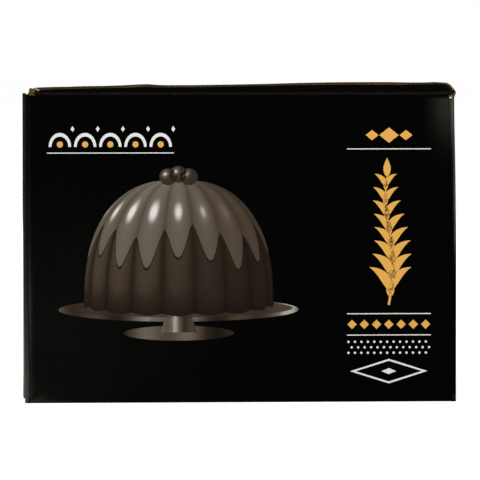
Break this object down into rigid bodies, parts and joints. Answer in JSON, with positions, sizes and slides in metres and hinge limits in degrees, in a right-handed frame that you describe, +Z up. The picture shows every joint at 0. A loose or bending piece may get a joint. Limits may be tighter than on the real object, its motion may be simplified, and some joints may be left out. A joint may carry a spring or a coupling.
{
  "type": "printed cardboard carton",
  "caption": "Black printed corrugated carton, empty and shut: folded walls, glued bottom, tucked side flaps and hinged top flaps that meet in the middle.",
  "frame": {"origin": "centre of the footprint, on the surface that the carton stands on", "axes": "+X to the right seen from the printed front, +Y to the back, +Z up"},
  "size_m": [0.268, 0.21, 0.1973],
  "materials": {
    "printed_board": "satin black print, plain brown inside"
  },
  "bodies": {
    "carton": {"carton_body": "printed_board"},
    "front_flap": {"front_top_flap": "printed_board"},
    "back_flap": {"back_top_flap": "printed_board"}
  },
  "joints": [
    {"name": "front_flap_hinge", "type": "hinge", "parent": "carton", "child": "front_flap", "pos_m": [0, -0.105, 0.1915], "axis": [1, 0, 0], "range_deg": [0, 250]},
    {"name": "back_flap_hinge", "type": "hinge", "parent": "carton", "child": "back_flap", "pos_m": [0, 0.105, 0.1915], "axis": [-1, 0, 0], "range_deg": [0, 250]}
  ]
}
